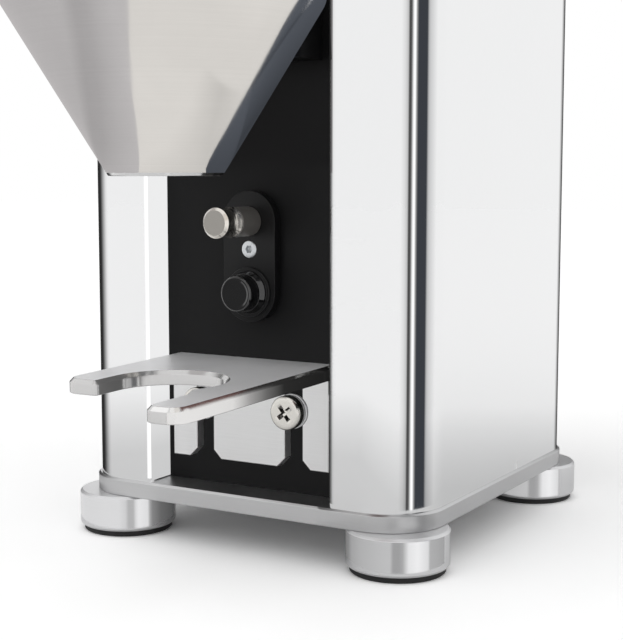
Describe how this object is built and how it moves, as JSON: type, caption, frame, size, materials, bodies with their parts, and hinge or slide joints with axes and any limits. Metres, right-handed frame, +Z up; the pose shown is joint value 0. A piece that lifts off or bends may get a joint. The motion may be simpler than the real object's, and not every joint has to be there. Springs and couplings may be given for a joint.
{
  "type": "burr coffee grinder",
  "caption": "Upright burr coffee grinder with bright side covers, a bean hopper, an outlet funnel and a height-adjustable fork for a filter holder.",
  "frame": {"origin": "on the floor, under the middle of the machine's outer box", "axes": "+Z up, +X to the right and +Y to the back as seen by someone at the fork"},
  "size_m": [0.2122, 0.3572, 0.6401],
  "materials": {
    "mirror_chrome": "mirror-polished stainless sheet",
    "satin_aluminium": "satin, fine grained, broken edges",
    "polished_aluminium": "polished, turned",
    "turned_aluminium": "turned, satin",
    "pad_rubber": "matt black",
    "black_steel": "black satin powder coat",
    "black_plate": "black satin anodised",
    "gloss_black": "glossy black",
    "matte_black": "matt black",
    "fork_steel": "satin steel with polished edges",
    "nickel": "nickel plated, turned",
    "zinc_steel": "plated steel",
    "burr_steel": "hardened steel",
    "cast_aluminium": "as cast",
    "lamination": "stacked sheets",
    "copper_winding": "enamelled copper wire",
    "smoked_clear": "smoked see-through plastic",
    "spring_steel": "drawn wire"
  },
  "bodies": {
    "frame": {"base_plate": "satin_aluminium", "top_plate": "satin_aluminium", "left_side_cover": "mirror_chrome", "right_side_cover": "mirror_chrome", "front_panel": "black_steel", "rear_panel": "black_steel", "chute_box": "black_steel", "switch_plate": "black_plate", "switch_plate_screw": "zinc_steel", "portafilter_hook": "nickel", "start_button_bezel": "gloss_black", "start_button_spring": "spring_steel", "start_switch_block": "matte_black", "fork_screws": "zinc_steel", "fork_washers": "zinc_steel", "fork_nut_bar": "zinc_steel", "funnel": "turned_aluminium", "funnel_screws": "zinc_steel", "foot_bolts": "zinc_steel", "corner_posts": "zinc_steel", "top_plate_screws": "zinc_steel", "front_panel_screws": "zinc_steel", "rear_panel_screws": "zinc_steel", "power_switch_frame": "matte_black", "cable_gland": "matte_black", "capacitor": "cast_aluminium", "motor_lower_bell": "cast_aluminium", "motor_housing": "black_steel", "stator_core": "lamination", "stator_windings": "copper_winding", "motor_upper_bell": "cast_aluminium", "motor_screws": "zinc_steel", "lower_bearing": "burr_steel", "upper_bearing": "burr_steel", "grind_chamber": "cast_aluminium", "foot_front_left": "polished_aluminium", "foot_pad_front_left": "pad_rubber", "foot_front_right": "polished_aluminium", "foot_pad_front_right": "pad_rubber", "foot_rear_left": "polished_aluminium", "foot_pad_rear_left": "pad_rubber", "foot_rear_right": "polished_aluminium", "foot_pad_rear_right": "pad_rubber"},
    "rotor": {"motor_shaft": "burr_steel", "rotor_core": "lamination", "cooling_fan": "matte_black", "lower_burr_carrier": "cast_aluminium", "lower_burr": "burr_steel", "burr_bolt": "zinc_steel"},
    "adjuster": {"adjusting_collar": "black_plate", "collar_lever": "nickel"},
    "burr_slide": {"upper_burr_carrier": "cast_aluminium", "upper_burr": "burr_steel"},
    "hopper": {"hopper": "smoked_clear"},
    "hopper_gate": {"hopper_gate": "matte_black"},
    "hopper_lid": {"hopper_lid": "matte_black"},
    "fork": {"fork": "fork_steel"},
    "start_button": {"start_button": "gloss_black"},
    "power_rocker": {"power_rocker": "gloss_black"},
    "funnel_cover": {"funnel_cover": "matte_black"}
  },
  "joints": [
    {"name": "rotor_spin", "type": "hinge", "parent": "frame", "child": "rotor", "pos_m": [0, 0.06538, 0.18], "axis": [0, 0, 1], "continuous": true},
    {"name": "collar_turn", "type": "hinge", "parent": "frame", "child": "adjuster", "pos_m": [0, 0.06538, 0.417], "axis": [0, 0, 1], "range_deg": [-150, 150]},
    {"name": "burr_feed", "type": "slide", "parent": "frame", "child": "burr_slide", "axis": [0, 0, 1], "range_m": [-0.00064, 0.00064]},
    {"name": "hopper_lift", "type": "slide", "parent": "adjuster", "child": "hopper", "axis": [0, 0, 1], "range_m": [0, 0.06]},
    {"name": "lid_lift", "type": "slide", "parent": "hopper", "child": "hopper_lid", "axis": [0, 0, 1], "range_m": [0, 0.05]},
    {"name": "gate_pull", "type": "slide", "parent": "hopper", "child": "hopper_gate", "axis": [1, 0, 0], "range_m": [0, 0.073]},
    {"name": "fork_slide", "type": "slide", "parent": "frame", "child": "fork", "axis": [0, 0, 1], "range_m": [-0.006, 0.016]},
    {"name": "start_press", "type": "slide", "parent": "frame", "child": "start_button", "axis": [0, 1, 0], "range_m": [0, 0.004], "stiffness_N_per_m": 600, "springref_m": -0.003, "deforming": ["start_button_spring"]},
    {"name": "rocker_tilt", "type": "hinge", "parent": "frame", "child": "power_rocker", "pos_m": [-0.034, 0.16062, 0.0785], "axis": [1, 0, 0], "range_deg": [-20, 0]},
    {"name": "cover_lift", "type": "slide", "parent": "frame", "child": "funnel_cover", "axis": [0, 0, 1], "range_m": [0, 0.05]}
  ],
  "couplings": [
    {"joint": "burr_feed", "follows": "collar_turn", "m_per_rad": 0.00023873}
  ]
}
